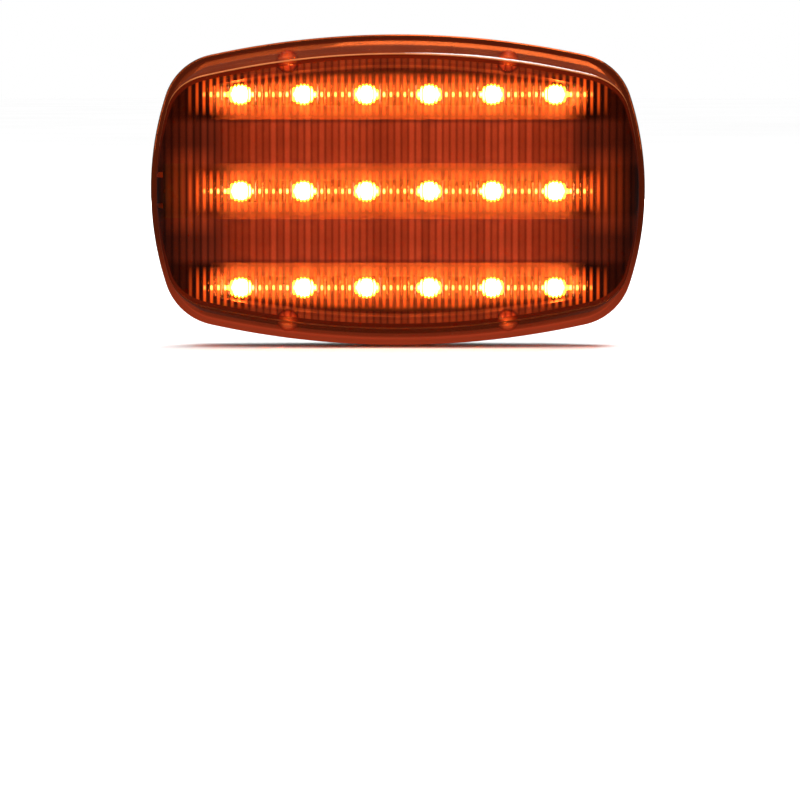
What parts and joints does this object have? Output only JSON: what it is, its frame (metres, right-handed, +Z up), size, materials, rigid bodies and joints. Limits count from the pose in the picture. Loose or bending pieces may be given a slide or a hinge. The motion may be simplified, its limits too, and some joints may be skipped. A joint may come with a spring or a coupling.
{
  "type": "led safety flare",
  "caption": "Rectangular battery safety flare: fluted amber lens over rows of LEDs, black magnetic back with a coin-locked battery door, folding hanger and push button.",
  "frame": {"origin": "in the plane of the two magnet faces, midway between the magnets", "axes": "+X along the long side, to the right seen from the lens; +Y out of the back, the way the magnet faces point, so the lens faces -Y; +Z up"},
  "size_m": [0.164, 0.042, 0.103],
  "materials": {
    "housing": "fine-textured black ABS",
    "lens": "clear amber polycarbonate, fluted inside",
    "seal": "soft black rubber",
    "dark_steel": "black oxide",
    "magnet": "matte nickel plating",
    "brass_screw": "yellow zinc plating",
    "zinc_steel": "bright zinc plating",
    "board": "green solder mask",
    "led": "amber epoxy, lit",
    "reflector": "bright vacuum-metallised troughs",
    "chip": "moulded epoxy",
    "capacitor": "sleeved can",
    "button": "smooth yellow",
    "button_stem": "natural nylon",
    "spring_steel": "nickel-plated spring wire",
    "brass_insert": "turned brass",
    "contact": "nickel-plated strip",
    "red_wire": "PVC insulation",
    "black_wire": "PVC insulation",
    "cell": "plain printed sleeve"
  },
  "bodies": {
    "lamp": {"rear_housing": "housing", "lens": "lens", "lens_gasket": "seal", "case_screws": "dark_steel", "magnet_left": "magnet", "magnet_right": "magnet", "magnet_screws": "brass_screw", "magnet_nuts": "zinc_steel", "circuit_board": "board", "led_row_top": "led", "led_row_middle": "led", "led_row_bottom": "led", "reflector": "reflector", "board_screws": "zinc_steel", "driver_chip": "chip", "board_resistors": "chip", "board_capacitor": "capacitor", "button_spring": "spring_steel", "switch_body": "chip", "door_insert": "brass_insert", "contact_plates": "contact", "contact_springs": "spring_steel", "wire_red": "red_wire", "wire_black": "black_wire", "battery_cell_1": "cell", "battery_cell_2": "cell", "battery_cell_3": "cell", "battery_cell_4": "cell"},
    "button": {"switch_button": "button", "switch_plunger": "button_stem"},
    "door": {"battery_door": "housing", "hanger_pin": "zinc_steel"},
    "hanger": {"hanger": "housing"},
    "lock": {"door_screw": "housing", "screw_retainer": "zinc_steel"}
  },
  "joints": [
    {"name": "button_press", "type": "slide", "parent": "lamp", "child": "button", "axis": [0, -1, 0], "range_m": [0, 0.0015], "stiffness_N_per_m": 600, "springref_m": -0.001, "deforming": ["button_spring"]},
    {"name": "door_lift", "type": "slide", "parent": "lamp", "child": "door", "axis": [0, 1, 0], "range_m": [0, 0.035]},
    {"name": "hanger_fold", "type": "hinge", "parent": "door", "child": "hanger", "pos_m": [0, -0.0036, 0.0193], "axis": [1, 0, 0], "range_deg": [0, 105]},
    {"name": "door_screw_turn", "type": "hinge", "parent": "door", "child": "lock", "pos_m": [0, -0.005, 0.0011], "axis": [0, 1, 0], "range_deg": [0, 90]}
  ]
}
